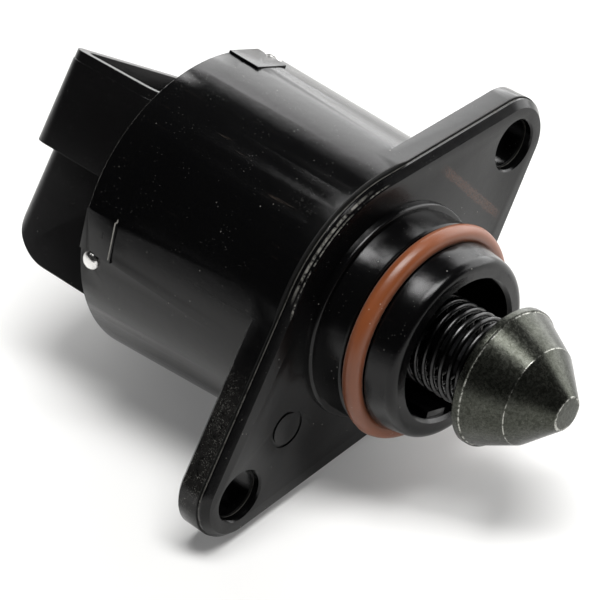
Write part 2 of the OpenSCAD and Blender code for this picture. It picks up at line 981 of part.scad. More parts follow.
// Coil spring swept along its centre line
module spring() {
    rings = ceil(spring_turns * wire_steps);
    points = [
        for (i = [0 : rings])
            let (t = i * spring_turns / rings, a = 360 * t, h = wire_height(t))
            for (j = [0 : wire_sides - 1])
                let (b = 360 * j / wire_sides,
                     r = spring_r + wire_d / 2 * cos(b))
                [r * cos(a), r * sin(a), spring_seat_z + wire_d / 2 + h + wire_d / 2 * sin(b)]
    ];
    faces = concat(
        [[for (j = [0 : wire_sides - 1]) j]],
        [for (i = [0 : rings - 1]) for (j = [0 : wire_sides - 1])
            let (k = (j + 1) % wire_sides, p = i * wire_sides, q = p + wire_sides)
            [p + j, q + j, q + k]],
        [for (i = [0 : rings - 1]) for (j = [0 : wire_sides - 1])
            let (k = (j + 1) % wire_sides, p = i * wire_sides, q = p + wire_sides)
            [p + j, q + k, p + k]],
        [[for (j = [wire_sides - 1 : -1 : 0]) rings * wire_sides + j]]
    );
    color([0.15, 0.15, 0.16])
        place()
            polyhedron(points, faces);
}

housing();
o_ring();
connector_cap();
cap_seal();
cap_pins();
terminal(0);  // terminal_1
terminal(1);  // terminal_2
terminal(2);  // terminal_3
terminal(3);  // terminal_4
front_outer_cup();
front_inner_cup();
rear_inner_cup();
rear_outer_cup();
bobbin(front_low, front_high);  // front_bobbin
bobbin(rear_low, rear_high);  // rear_bobbin
coil(front_low, front_high);  // front_coil
coil(rear_low, rear_high);  // rear_coil
bearing_outer_race();
bearing_inner_race();
bearing_balls();
bearing_cage();
rear_bush();
thrust_washer();
rotor_magnet();
rotor_hub();
lead_screw();
pintle();
spring();
guide_bush();
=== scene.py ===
"""Idle air control valve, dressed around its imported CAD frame.

The frame gives every size and place. This script adds the rounded, turned and wound pieces, the
finishes, the camera of the photograph and a plain studio.
"""

import json
import logging
import math
from dataclasses import dataclass
from enum import Enum
from functools import cached_property
from typing import Iterable, Optional, Sequence, Union

import bpy
from mathutils import Matrix, Vector

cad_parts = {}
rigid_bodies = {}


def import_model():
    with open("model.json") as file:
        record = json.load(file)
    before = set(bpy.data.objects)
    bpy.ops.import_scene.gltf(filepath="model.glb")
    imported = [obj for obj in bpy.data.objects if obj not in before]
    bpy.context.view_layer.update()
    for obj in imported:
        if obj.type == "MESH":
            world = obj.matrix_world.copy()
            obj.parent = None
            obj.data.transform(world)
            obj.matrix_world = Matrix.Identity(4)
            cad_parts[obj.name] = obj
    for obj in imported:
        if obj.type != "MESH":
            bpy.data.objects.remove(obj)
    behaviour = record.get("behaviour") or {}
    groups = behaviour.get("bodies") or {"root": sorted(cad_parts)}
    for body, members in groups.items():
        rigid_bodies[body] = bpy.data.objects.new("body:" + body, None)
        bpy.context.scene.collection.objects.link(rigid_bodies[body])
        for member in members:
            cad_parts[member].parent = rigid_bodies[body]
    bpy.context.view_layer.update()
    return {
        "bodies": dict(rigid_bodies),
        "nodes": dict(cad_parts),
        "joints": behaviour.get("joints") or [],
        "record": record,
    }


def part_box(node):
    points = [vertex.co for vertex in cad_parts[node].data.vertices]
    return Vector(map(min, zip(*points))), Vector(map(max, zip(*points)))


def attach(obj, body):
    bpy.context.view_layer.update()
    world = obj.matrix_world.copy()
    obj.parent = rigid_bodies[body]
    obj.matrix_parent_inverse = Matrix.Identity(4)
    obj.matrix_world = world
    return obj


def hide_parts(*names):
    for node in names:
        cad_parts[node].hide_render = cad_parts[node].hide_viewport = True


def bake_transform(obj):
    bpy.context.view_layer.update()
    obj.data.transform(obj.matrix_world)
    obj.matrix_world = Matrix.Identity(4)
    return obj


LOG = logging.getLogger("valve")
MM = 0.001
Number = Union[int, float]
Point2 = tuple[float, float]
Point3 = tuple[float, float, float]
Tint = tuple[float, float, float, float]
Span = tuple[float, float, float]


class Body(Enum):
    """The rigid bodies that the new pieces ride on."""

    VALVE = "valve_body"
    ROTOR = "rotor"
    SHAFT = "pintle_shaft"


class Shade(Enum):
    """How the faces of a piece are shaded, as the angle past which an edge stays sharp."""

    SOFT = 60.0
    MACHINED = 32.0


# Shader maths


class Signal:
    """One output socket whose arithmetic adds Math nodes to its graph."""

    def __init__(self, graph: "Graph", socket: bpy.types.NodeSocket) -> None:
        """Wraps a socket.

        Args:
            graph: The graph that owns the socket.
            socket: An output socket.
        """
        self.graph = graph
        self.socket = socket

    def __add__(self, other: "Level") -> "Signal":
        """Adds a number or a signal."""
        return self.graph.math("ADD", self, other)

    __radd__ = __add__

    def __mul__(self, other: "Level") -> "Signal":
        """Multiplies by a number or a signal."""
        return self.graph.math("MULTIPLY", self, other)

    def __sub__(self, other: "Level") -> "Signal":
        """Subtracts a number or a signal."""
        return self.graph.math("SUBTRACT", self, other)

    def __pow__(self, other: "Level") -> "Signal":
        """Raises to a power."""
        return self.graph.math("POWER", self, other)

    def between(self, low: Number, high: Number) -> "Signal":
        """Rises smoothly from 0 at low to 1 at high.

        Args:
            low: Value at which the result is 0. It may lie above high.
            high: Value at which the result is 1.

        Returns:
            The smooth step.
        """
        ends = {"Value": self, "From Min": low, "From Max": high}
        return self.graph.read("Result", "ShaderNodeMapRange", ends, interpolation_type="SMOOTHSTEP")

    def band(self, centre: Number, half_width: Number, soft: Number) -> "Signal":
        """Is 1 within half_width of centre and falls to 0 over soft.

        Args:
            centre: Middle of the band.
            half_width: Half of the band's full part.
            soft: Width of each soft edge.

        Returns:
            The band's mask.
        """
        away = self.graph.math("ABSOLUTE", self - centre)
        return away.between(half_width + soft, half_width)


Level = Union[Number, Signal]
Colour = Union[Tint, Signal]


def rgb(red: float, green: float, blue: float) -> Tint:
    """Gives a colour with full alpha."""
    return (red, green, blue, 1.0)


class Graph:
    """The node tree of one material or of the world."""

    def __init__(self, tree: bpy.types.NodeTree) -> None:
        """Empties a tree and keeps it.

        Args:
            tree: The tree to build in.
        """
        self.tree = tree
        tree.nodes.clear()

    def node(self, kind: str, inputs: Optional[dict] = None, **settings: object) -> bpy.types.Node:
        """Adds a node.

        Args:
            kind: The node's type name.
            inputs: Values or signals by socket name or index.
            **settings: Properties of the node, set before its sockets.

        Returns:
            The new node.
        """
        made = self.tree.nodes.new(kind)
        for name, value in settings.items():
            setattr(made, name, value)
        for name, value in (inputs or {}).items():
            socket = made.inputs[name]
            if isinstance(value, Signal):
                self.tree.links.new(value.socket, socket)
            else:
                socket.default_value = value
        return made

    def read(
        self, output: Union[int, str], kind: str, inputs: Optional[dict] = None, **settings: object
    ) -> Signal:
        """Adds a node and reads one of its outputs.

        Args:
            output: The output's name or index.
            kind: The node's type name.
            inputs: Values or signals by socket name or index.
            **settings: Properties of the node.

        Returns:
            The output.
        """
        return Signal(self, self.node(kind, inputs, **settings).outputs[output])

    def math(self, operation: str, *values: Level) -> Signal:
        """Adds a Math node.

        Args:
            operation: The node's operation.
            *values: Its numbers or signals.

        Returns:
            The result.
        """
        return self.read(0, "ShaderNodeMath", dict(enumerate(values)), operation=operation)

    def blend(self, factor: Level, first: Colour, second: Colour) -> Signal:
        """Mixes two colours.

        Args:
            factor: 0 gives first and 1 gives second.
            first: A colour.
            second: A colour.

        Returns:
            The mixed colour.
        """
        return self.read(2, "ShaderNodeMix", {0: factor, 6: first, 7: second}, data_type="RGBA")

    def position(self) -> Signal:
        """Gives the place on the piece in millimetres, in the frame's axes."""
        place = self.read("Object", "ShaderNodeTexCoord")
        scale = (1 / MM, 1 / MM, 1 / MM)
        return self.read(0, "ShaderNodeVectorMath", {0: place, 1: scale}, operation="MULTIPLY")

    def split(self, vector: Signal) -> tuple[Signal, Signal, Signal]:
        """Splits a vector.

        Args:
            vector: The vector.

        Returns:
            Its three numbers.
        """
        parts = self.node("ShaderNodeSeparateXYZ", {0: vector})
        return tuple(Signal(self, out) for out in parts.outputs)

    def join(self, x: Level, y: Level, z: Level) -> Signal:
        """Joins three numbers into a vector."""
        return self.read(0, "ShaderNodeCombineXYZ", {0: x, 1: y, 2: z})

    def noise(self, where: Signal, scale: float, detail: float = 3.0, rough: float = 0.55) -> Signal:
        """Adds a noise.

        Args:
            where: The place that it reads.
            scale: Features per millimetre.
            detail: Number of octaves.
            rough: Strength of the finer octaves.

        Returns:
            The noise, about 0 to 1.
        """
        inputs = {"Vector": where, "Scale": scale, "Detail": detail, "Roughness": rough}
        return self.read("Fac", "ShaderNodeTexNoise", inputs)

    def cells(self, where: Signal, scale: float) -> Signal:
        """Adds a Voronoi pattern.

        Args:
            where: The place that it reads.
            scale: Cells per millimetre.

        Returns:
            The distance to the nearest cell's middle, in cells.
        """
        return self.read("Distance", "ShaderNodeTexVoronoi", {"Vector": where, "Scale": scale})

    def bump(self, height: Signal, depth_mm: float) -> Signal:
        """Turns a height into a normal.

        Args:
            height: The height, 0 to 1.
            depth_mm: The relief between 0 and 1, in millimetres.

        Returns:
            The normal.
        """
        return self.read("Normal", "ShaderNodeBump", {"Height": height, "Distance": depth_mm * MM})

    def surface(self, shader: Signal, end: str = "ShaderNodeOutputMaterial") -> None:
        """Ends the graph with a shader.

        Args:
            shader: The shader's output.
            end: Type name of the output node.
        """
        self.node(end, {"Surface": shader})

    def principled(self, inputs: dict[str, object]) -> None:
        """Ends the graph with a Principled shader.

        Args:
            inputs: Values or signals by socket name.
        """
        self.surface(self.read(0, "ShaderNodeBsdfPrincipled", inputs))


@dataclass(frozen=True)
class Axis:
    """The valve's axis, which is parallel to X."""

    y: float
    z: float

    @classmethod
    def of_frame(cls) -> "Axis":
        """Reads the axis from the sealing ring's box."""
        low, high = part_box("o_ring")
        return cls((low.y + high.y) / 2, (low.z + high.z) / 2)

    def at(self, x: float) -> Vector:
        """Gives the axis point at a place along X, in metres."""
        return Vector((x, self.y, self.z))


class Spot:
    """The shaded point of a piece, in millimetres and in the frame's axes."""

    def __init__(self, graph: Graph, axis: Axis) -> None:
        """Reads the point.

        Args:
            graph: The material's graph.
            axis: The valve's axis.
        """
        self.graph = graph
        self.axis = axis
        self.place = graph.position()

    @cached_property
    def parts(self) -> tuple[Signal, Signal, Signal]:
        """The point's x, y and z."""
        return self.graph.split(self.place)

    @cached_property
    def from_axis(self) -> tuple[Signal, Signal]:
        """How far the point lies from the valve's axis along Y and along Z."""
        _, y, z = self.parts
        return y - self.axis.y / MM, z - self.axis.z / MM

    @cached_property
    def radius(self) -> Signal:
        """The distance from the valve's axis."""
        across, up = self.from_axis
        return (across * across + up * up) ** 0.5

    @cached_property
    def turn(self) -> Signal:
        """The angle around the valve's axis in degrees, from +Y towards +Z."""
        across, up = self.from_axis
        return self.graph.math("ARCTAN2", up, across) * (180.0 / math.pi)

    @cached_property
    def broken(self) -> Signal:
        """A coarse noise, which breaks a mark into strokes."""
        return self.graph.noise(self.place, 1.3, 4.0, 0.7)

    @cached_property
    def ragged(self) -> Signal:
        """A finer noise, which frays a mark."""
        return self.graph.noise(self.place, 3.2, 4.0, 0.75)


# Finishes


@dataclass(frozen=True)
class Finish:
    """A finish: the base of every material."""

    name: str
    tint: Tint

    def material(self, axis: Axis) -> bpy.types.Material:
        """Builds the material, or gives the one that was built before.

        Args:
            axis: The valve's axis, for patterns that follow it.

        Returns:
            The material.
        """
        found = bpy.data.materials.get(self.name)
        if found is None:
            found = bpy.data.materials.new(self.name)
            found.use_nodes = True
            self.paint(Spot(Graph(found.node_tree), axis))
        return found

    def toned(self, *shares: float) -> Tint:
        """Gives the tint made darker or lighter.

        Args:
            *shares: One share for all three channels, or one for each.

        Returns:
            The colour.
        """
        each = shares * 3 if len(shares) == 1 else shares
        return rgb(*(channel * share for channel, share in zip(self.tint, each)))

    def paint(self, spot: Spot) -> None:
        """Builds the nodes.

        Args:
            spot: The shaded point.
        """
        raise NotImplementedError


@dataclass(frozen=True)
class Marks:
    """Masks of the marks that one moulding has: light (painted edge highlights and dust), dark and brown.
    """

    # Painted highlights along edges together with real dust.
    light: Signal
    dark: Signal
    brown: Signal


@dataclass(frozen=True)
class MouldedNylon(Finish):
    """Glossy black moulding with dust, fine pits and rubbed patches."""

    gloss: float
    dust: float
    rubbed: float

    def marks(self, spot: Spot) -> Optional[Marks]:
        """Gives the piece's own marks; a plain moulding has none.

        Args:
            spot: The shaded point.

        Returns:
            The marks, or None.
        """
        return None

    def paint(self, spot: Spot) -> None:
        """Builds the nodes.

        Args:
            spot: The shaded point.
        """
        graph, where = spot.graph, spot.place
        x, y, z = spot.parts
        clouds = graph.noise(where, 0.12, 4.0)
        grain = graph.noise(where, 9.0, 3.0, 0.6)
        ripple = graph.noise(where, 0.5, 2.0)
        haze = graph.noise(where, 6.0, 4.0, 0.75).between(0.5, 0.85)
        specks = graph.cells(where, 0.9).between(0.085, 0.045)
        specks = specks * graph.noise(where, 0.23, 2.0).between(0.52, 0.62)
        fine = graph.cells(where, 2.6).between(0.13, 0.06) * graph.noise(where, 0.4, 2.0).between(0.5, 0.64)
        dust = (specks * 0.55 + fine * 0.28) * self.dust
        streaks = graph.noise(graph.join(x * 0.1, y * 1.6, z * 1.6), 0.9, 5.0, 0.7).between(0.62, 0.74)
        wear = streaks * clouds.between(0.45, 0.6) * self.rubbed
        deep = graph.blend(clouds, self.tint, self.toned(1.8))
        dusty = graph.blend(haze * 0.02, deep, rgb(0.16, 0.155, 0.14))
        colour = graph.blend(wear, dusty, rgb(0.045, 0.034, 0.026))
        rough = self.gloss + clouds * 0.06 + grain * 0.05 + dust * 0.4 + wear * 0.15
        height = grain * 0.35 + ripple * 0.65
        marks = self.marks(spot)
        if marks is not None:
            colour = graph.blend(marks.brown, colour, rgb(0.1, 0.05, 0.034))
            # Pale colour for marks.light: painted edge highlights and dust.
            colour = graph.blend(marks.light, colour, rgb(0.3, 0.29, 0.265))
            colour = graph.blend(marks.dark, colour, rgb(0.0008, 0.0008, 0.0008))
            rough = rough + marks.light * 0.25 + marks.dark * 0.4
        colour = graph.blend(dust, colour, rgb(0.34, 0.33, 0.3))
        normal = graph.bump(height, 0.03)
        graph.principled({"Base Color": colour, "Roughness": rough, "Normal": normal, "IOR": 1.34})


@dataclass(frozen=True)
class HousingNylon(MouldedNylon):
    """The housing's moulding, with painted highlights along its edges, a mould line and the scuffs of use.

    Each Span is a middle, half a width and a soft edge, as Signal.band() takes them, and each
    Point2 of a place or radius is where a mark starts and where it is full. Places along X, radii
    and distances are in millimetres, and places around the axis in degrees.
    """

    rim_x: Span = (-27.86, 0.06, 0.08)
    line_x: Span = (-0.94, 0.045, 0.05)
    line_gap_x: Span = (-1.16, 0.06, 0.05)
    disc_r: Span = (15.75, 0.05, 0.06)
    disc_turn: Span = (120.0, 28.0, 6.0)
    disc_x: Point2 = (-0.25, -0.1)
    pad_x: Span = (-23.57, 0.06, 0.05)
    pad_turn: Span = (158.5, 7.0, 0.8)
    arc_x: Span = (-0.45, 0.04, 0.1)
    arc_turn: Span = (121.0, 16.0, 12.0)
    seam_x: Span = (-8.4, 4.6, 0.6)
    seam_turn: Span = (157.8, 0.1, 0.12)
    slit_x: Span = (-24.9, 0.09, 0.05)
    slit_turn: Span = (158.6, 1.1, 0.25)
    seam_dust_x: Span = (-8.0, 4.4, 2.0)
    seam_dust_turn: Span = (157.2, 1.4, 1.5)
    side_x: Span = (-16.0, 9.0, 3.0)
    side_turn: Span = (81.0, 1.6, 2.2)
    corner_x: Span = (-4.6, 1.0, 1.5)
    corner_turn: Span = (109.0, 5.0, 5.0)
    ear_x: Span = (-2.65, 1.7, 0.15)
    ear_y: Point2 = (-16.5, -20.5)
    scrape_along: Span = (8.2, 5.4, 2.6)
    scrape_across: Span = (0.0, 0.3, 0.4)
    scrape_x: Point2 = (-0.3, -0.1)
    flange_r: Point2 = (15.2, 15.6)
    ear_hole_y: float = -21.28
    ear_hole_z: float = -10.66
    scrape_y: float = 9.4
    scrape_z: float = 14.7
    scrape_toward_y: float = 0.62
    scrape_toward_z: float = -0.784

    def marks(self, spot: Spot) -> Marks:
        """Places the housing's marks.

        Args:
            spot: The shaded point.

        Returns:
            The marks.
        """
        # The light mask is painted edge highlights plus dust and powder.
        light = self.painted_edge_highlights(spot) + self.dusting(spot) + self.powder(spot)
        return Marks(light, self.gaps(spot), self.scrape(spot))

    def painted_edge_highlights(self, spot: Spot) -> Signal:
        """Paints highlights as pale broken lines along the rim, the mould line, the disc's edge, the pad
        and the flange.

        Args:
            spot: The shaded point.

        Returns:
            The mask.
        """
        x, _, _ = spot.parts
        radius, turn, broken = spot.radius, spot.turn, spot.broken
        outside = radius.between(*self.flange_r)
        # Each mask below is a painted highlight: pale colour where an edge catches the light.
        rim = x.band(*self.rim_x) * radius.between(17.4, 17.6) * broken.between(0.25, 0.6)
        line = x.band(*self.line_x) * outside * broken.between(0.25, 0.55)
        disc = radius.band(*self.disc_r) * x.between(*self.disc_x) * turn.band(*self.disc_turn)
        disc = disc * broken.between(0.4, 0.6)
        pad = x.band(*self.pad_x) * turn.band(*self.pad_turn) * radius.between(17.3, 17.45)
        arc = x.band(*self.arc_x) * outside * turn.band(*self.arc_turn) * broken.between(0.34, 0.6)
        return rim * 0.32 + line * 0.24 + disc * 0.8 + pad * 0.9 + arc * 0.6

    def dusting(self, spot: Spot) -> Signal:
        """Leaves dust along the seam, on the body's side and in the flange's corner.

        Args:
            spot: The shaded point.

        Returns:
            The mask.
        """
        x, _, _ = spot.parts
        turn, ragged = spot.turn, spot.ragged
        seam = x.band(*self.seam_dust_x) * turn.band(*self.seam_dust_turn) * ragged.between(0.6, 0.72)
        side = x.band(*self.side_x) * turn.band(*self.side_turn) * spot.radius.between(16.4, 16.6)
        side = side * ragged.between(0.56, 0.7) * spot.broken.between(0.45, 0.62)
        corner = x.band(*self.corner_x) * turn.band(*self.corner_turn) * ragged.between(0.55, 0.7)
        return seam * 0.16 + side * 0.3 + corner * 0.08

    def powder(self, spot: Spot) -> Signal:
        """Powders the outer wall of the lower ear, but not its hole.

        Args:
            spot: The shaded point.

        Returns:
            The mask.
        """
        x, y, z = spot.parts
        across = y - self.ear_hole_y
        up = z - self.ear_hole_z
        from_hole = (across * across + up * up) ** 0.5
        wall = y.between(*self.ear_y) * x.band(*self.ear_x) * from_hole.between(3.2, 3.6)
        crumbs = spot.graph.noise(spot.place, 6.5, 4.0, 0.85).between(0.56, 0.68)
        crumbs = crumbs * spot.graph.noise(spot.place, 0.9).between(0.36, 0.6)
        return wall * (crumbs + spot.broken * 0.05)

    def gaps(self, spot: Spot) -> Signal:
        """Darkens the mould line, the seam and the slit beside the pad.

        Args:
            spot: The shaded point.

        Returns:
            The mask.
        """
        x, _, _ = spot.parts
        line = x.band(*self.line_gap_x) * spot.radius.between(*self.flange_r)
        seam = x.band(*self.seam_x) * spot.turn.band(*self.seam_turn) * spot.radius.between(16.0, 16.3)
        slit = x.band(*self.slit_x) * spot.turn.band(*self.slit_turn)
        return line * 0.9 + seam * 0.8 + slit * 0.9

    def scrape(self, spot: Spot) -> Signal:
        """Leaves the brown scrape on the upper ear's face.

        Args:
            spot: The shaded point.

        Returns:
            The mask.
        """
        x, y, z = spot.parts
        y = y - self.scrape_y
        z = z - self.scrape_z
        along = y * self.scrape_toward_y + z * self.scrape_toward_z
        across = z * self.scrape_toward_y - y * self.scrape_toward_z + (spot.broken - 0.5) * 0.9
        mask = across.band(*self.scrape_across) * along.band(*self.scrape_along) * x.between(*self.scrape_x)
        return mask * (spot.ragged.between(0.32, 0.6) * 0.55 + 0.08)


@dataclass(frozen=True)
class SiliconeRubber(Finish):
    """Sealing ring rubber with a soft sheen and a little dust."""

    rough: float

    def paint(self, spot: Spot) -> None:
        """Builds the nodes.

        Args:
            spot: The shaded point.
        """
        graph, where = spot.graph, spot.place
        clouds = graph.noise(where, 0.25)
        grain = graph.noise(where, 6.0)
        dust = graph.cells(where, 1.3).between(0.12, 0.05) * clouds.between(0.5, 0.62)
        rubber = graph.blend(clouds, self.toned(0.72), self.tint)
        graph.principled(
            {
                "Base Color": graph.blend(dust * 0.6, rubber, rgb(0.5, 0.42, 0.36)),
                "Roughness": self.rough + clouds * 0.12,
                "Normal": graph.bump(grain, 0.012),
                "Sheen Weight": 0.08,
            }
        )


@dataclass(frozen=True)
class PlainMetal(Finish):
    """Metal with a fine grain, tarnish clouds and, where hammer_mm is set, shallow dents."""

    rough: float
    tarnish: float
    hammer_mm: float = 0.0
    relief_mm: float = 0.08

    def paint(self, spot: Spot) -> None:
        """Builds the nodes.

        Args:
            spot: The shaded point.
        """
        graph, where = spot.graph, spot.place
        grain = graph.noise(where, 14.0, 2.0)
        dents = graph.noise(where, 2.6, 2.0)
        stain = graph.noise(where, 0.6, 4.0).between(0.4, 0.7) * self.tarnish
        height = grain * 0.05 + dents * (self.hammer_mm / self.relief_mm)
        graph.principled(
            {
                "Base Color": graph.blend(stain, self.tint, self.toned(0.55)),
                "Roughness": self.rough + stain * 0.25 + grain * 0.06,
                "Metallic": 1.0,
                "Normal": graph.bump(height, self.relief_mm),
            }
        )


@dataclass(frozen=True)
class TurnedSteel(Finish):
    """Turned steel: fine rings from the tool, oily tint and painted highlights as bright lines on its
    edges.

    bright_places are the places along X of the edges with painted highlights, in millimetres, and core_r is
    where they end.
    """

    bright_places: tuple[float, ...]
    rough: float
    core_r: Point2 = (1.62, 1.8)

    def paint(self, spot: Spot) -> None:
        """Builds the nodes.

        Args:
            spot: The shaded point.
        """
        graph, where = spot.graph, spot.place
        x, y, z = spot.parts
        along = x + spot.radius * 0.35
        rings = graph.noise(graph.join(along, 0.0, 0.0), 16.0, 3.0, 0.7)
        broad = graph.noise(graph.join(along, 0.0, 0.0), 2.2, 3.0, 0.6)
        clouds = graph.noise(where, 0.45, 4.0)
        patches = graph.noise(where, 3.4, 4.0, 0.65).between(0.5, 0.68)
        # Painted highlights: broken bright lines on the edges of the collar, the shoulder and the tip.
        glint_breaks = graph.noise(where, 1.3, 4.0, 0.75).between(0.4, 0.6) * spot.radius.between(*self.core_r)
        edge_highlight: Level = 0.0
        for place in self.bright_places:
            edge_highlight = edge_highlight + x.band(place, 0.015, 0.06) * glint_breaks
        mottle = graph.noise(where, 2.6, 8.0, 0.85).between(0.36, 0.64)
        clean = graph.blend(clouds, self.toned(1.1, 1.16, 1.05), self.tint)
        base = graph.blend(mottle, self.toned(0.34, 0.36, 0.3), clean)
        # shine lightens the colour in faint streaks, a painted sheen.
        shine = graph.noise(graph.join(along * 1.4, y * 0.5, z * 0.5), 0.8, 5.0, 0.7).between(0.5, 0.72)
        specks = graph.noise(where, 9.0, 3.0, 0.7).between(0.58, 0.72)
        streaked = graph.blend(shine * 0.06 + specks * 0.3, base, rgb(0.3, 0.3, 0.27))
        graph.principled(
            {
                # Pale colour on the edges is the painted highlight.
                "Base Color": graph.blend(edge_highlight * 0.75, streaked, rgb(0.5, 0.5, 0.46)),
                "Roughness": self.rough + rings * 0.08 + patches * 0.05 + mottle * 0.08,
                "Metallic": 0.9,
                "Normal": graph.bump(rings * 0.8 + broad * 0.12, 0.006),
            }
        )


@dataclass(frozen=True)
class NaturalPlastic(Finish):
    """Matt moulding in a natural colour, for bobbins, bushes and the hub."""

    rough: float = 0.5

    def paint(self, spot: Spot) -> None:
        """Builds the nodes.

        Args:
            spot: The shaded point.
        """
        graph, where = spot.graph, spot.place
        clouds = graph.noise(where, 0.3)
        grain = graph.noise(where, 8.0)
        graph.principled(
            {
                "Base Color": graph.blend(clouds, self.toned(0.82), self.tint),
                "Roughness": self.rough + clouds * 0.15,
                "Normal": graph.bump(grain, 0.01),
                "IOR": 1.5,
            }
        )


@dataclass(frozen=True)
class EnamelledWire(Finish):
    """Copper winding under clear enamel, with its turns as fine rings, darker between the turns as painted
    shade.
    """

    wire_mm: float = 0.16

    def paint(self, spot: Spot) -> None:
        """Builds the nodes.

        Args:
            spot: The shaded point.
        """
        graph, where = spot.graph, spot.place
        x, _, _ = spot.parts
        turns = graph.math("SINE", x * (2 * math.pi / self.wire_mm)) * 0.5 + 0.5
        clouds = graph.noise(where, 0.5)
        graph.principled(
            {
                # Darker colour in the grooves between turns is painted shade.
                "Base Color": graph.blend(turns, self.toned(0.4, 0.32, 0.3), self.tint),
                "Roughness": 0.28 + clouds * 0.15,
                "Metallic": 0.85,
                "Normal": graph.bump(turns, 0.05),
                "Coat Weight": 0.5 + clouds * 0.3,
            }
        )


# The finish of each material slot of the record.
FINISHES: dict[str, Finish] = {
    "housing_plastic": HousingNylon("black_nylon", rgb(0.0014, 0.0014, 0.0015), 0.11, 1.0, 0.5),
    "cap_plastic": MouldedNylon("cap_nylon", rgb(0.003, 0.0029, 0.003), 0.2, 0.5, 0.15),
    "seal_rubber": SiliconeRubber("terracotta_rubber", rgb(0.24, 0.064, 0.017), 0.3),
    "cap_seal_rubber": SiliconeRubber("black_rubber", rgb(0.02, 0.02, 0.02), 0.55),
    "pin_steel": PlainMetal("bright_pin", rgb(0.78, 0.77, 0.75), 0.22, 0.25, 0.05),
    "terminal_metal": PlainMetal("tinned_contact", rgb(0.7, 0.67, 0.6), 0.28, 0.3),
    "stator_steel": PlainMetal("zinc_steel", rgb(0.5, 0.51, 0.53), 0.42, 0.5),
    "bobbin_plastic": NaturalPlastic("natural_nylon", rgb(0.72, 0.69, 0.6)),
    "copper_winding": EnamelledWire("copper_wire", rgb(0.62, 0.24, 0.08)),
    "bearing_steel": PlainMetal("bearing_steel", rgb(0.58, 0.58, 0.59), 0.24, 0.2),
    "ball_steel": PlainMetal("polished_ball", rgb(0.75, 0.75, 0.76), 0.1, 0.1),
    "cage_brass": PlainMetal("cage_brass", rgb(0.6, 0.43, 0.18), 0.32, 0.4),
    "bush_bronze": PlainMetal("sintered_bronze", rgb(0.46, 0.29, 0.14), 0.5, 0.5),
    "washer_steel": PlainMetal("hard_shim", rgb(0.6, 0.6, 0.62), 0.2, 0.2),
    "magnet_ferrite": PlainMetal("ferrite", rgb(0.09, 0.09, 0.095), 0.6, 0.3),
    "hub_plastic": NaturalPlastic("dark_hub", rgb(0.035, 0.042, 0.05)),
    # The screw's steel is made nearly black as painted shade: it shows only inside the nose, between the
    # spring's coils.
    "screw_steel": PlainMetal("shade_darkened_steel", rgb(0.02, 0.02, 0.021), 0.36, 0.5),
    "pintle_metal": TurnedSteel("turned_steel", rgb(0.064, 0.065, 0.058), (16.6, 20.6, 24.38), 0.18),
    "spring_steel": PlainMetal("oiled_wire", rgb(0.05, 0.05, 0.05), 0.2, 0.5),
    "guide_plastic": NaturalPlastic("bearing_plastic", rgb(0.5, 0.47, 0.38)),
}


# Modelling


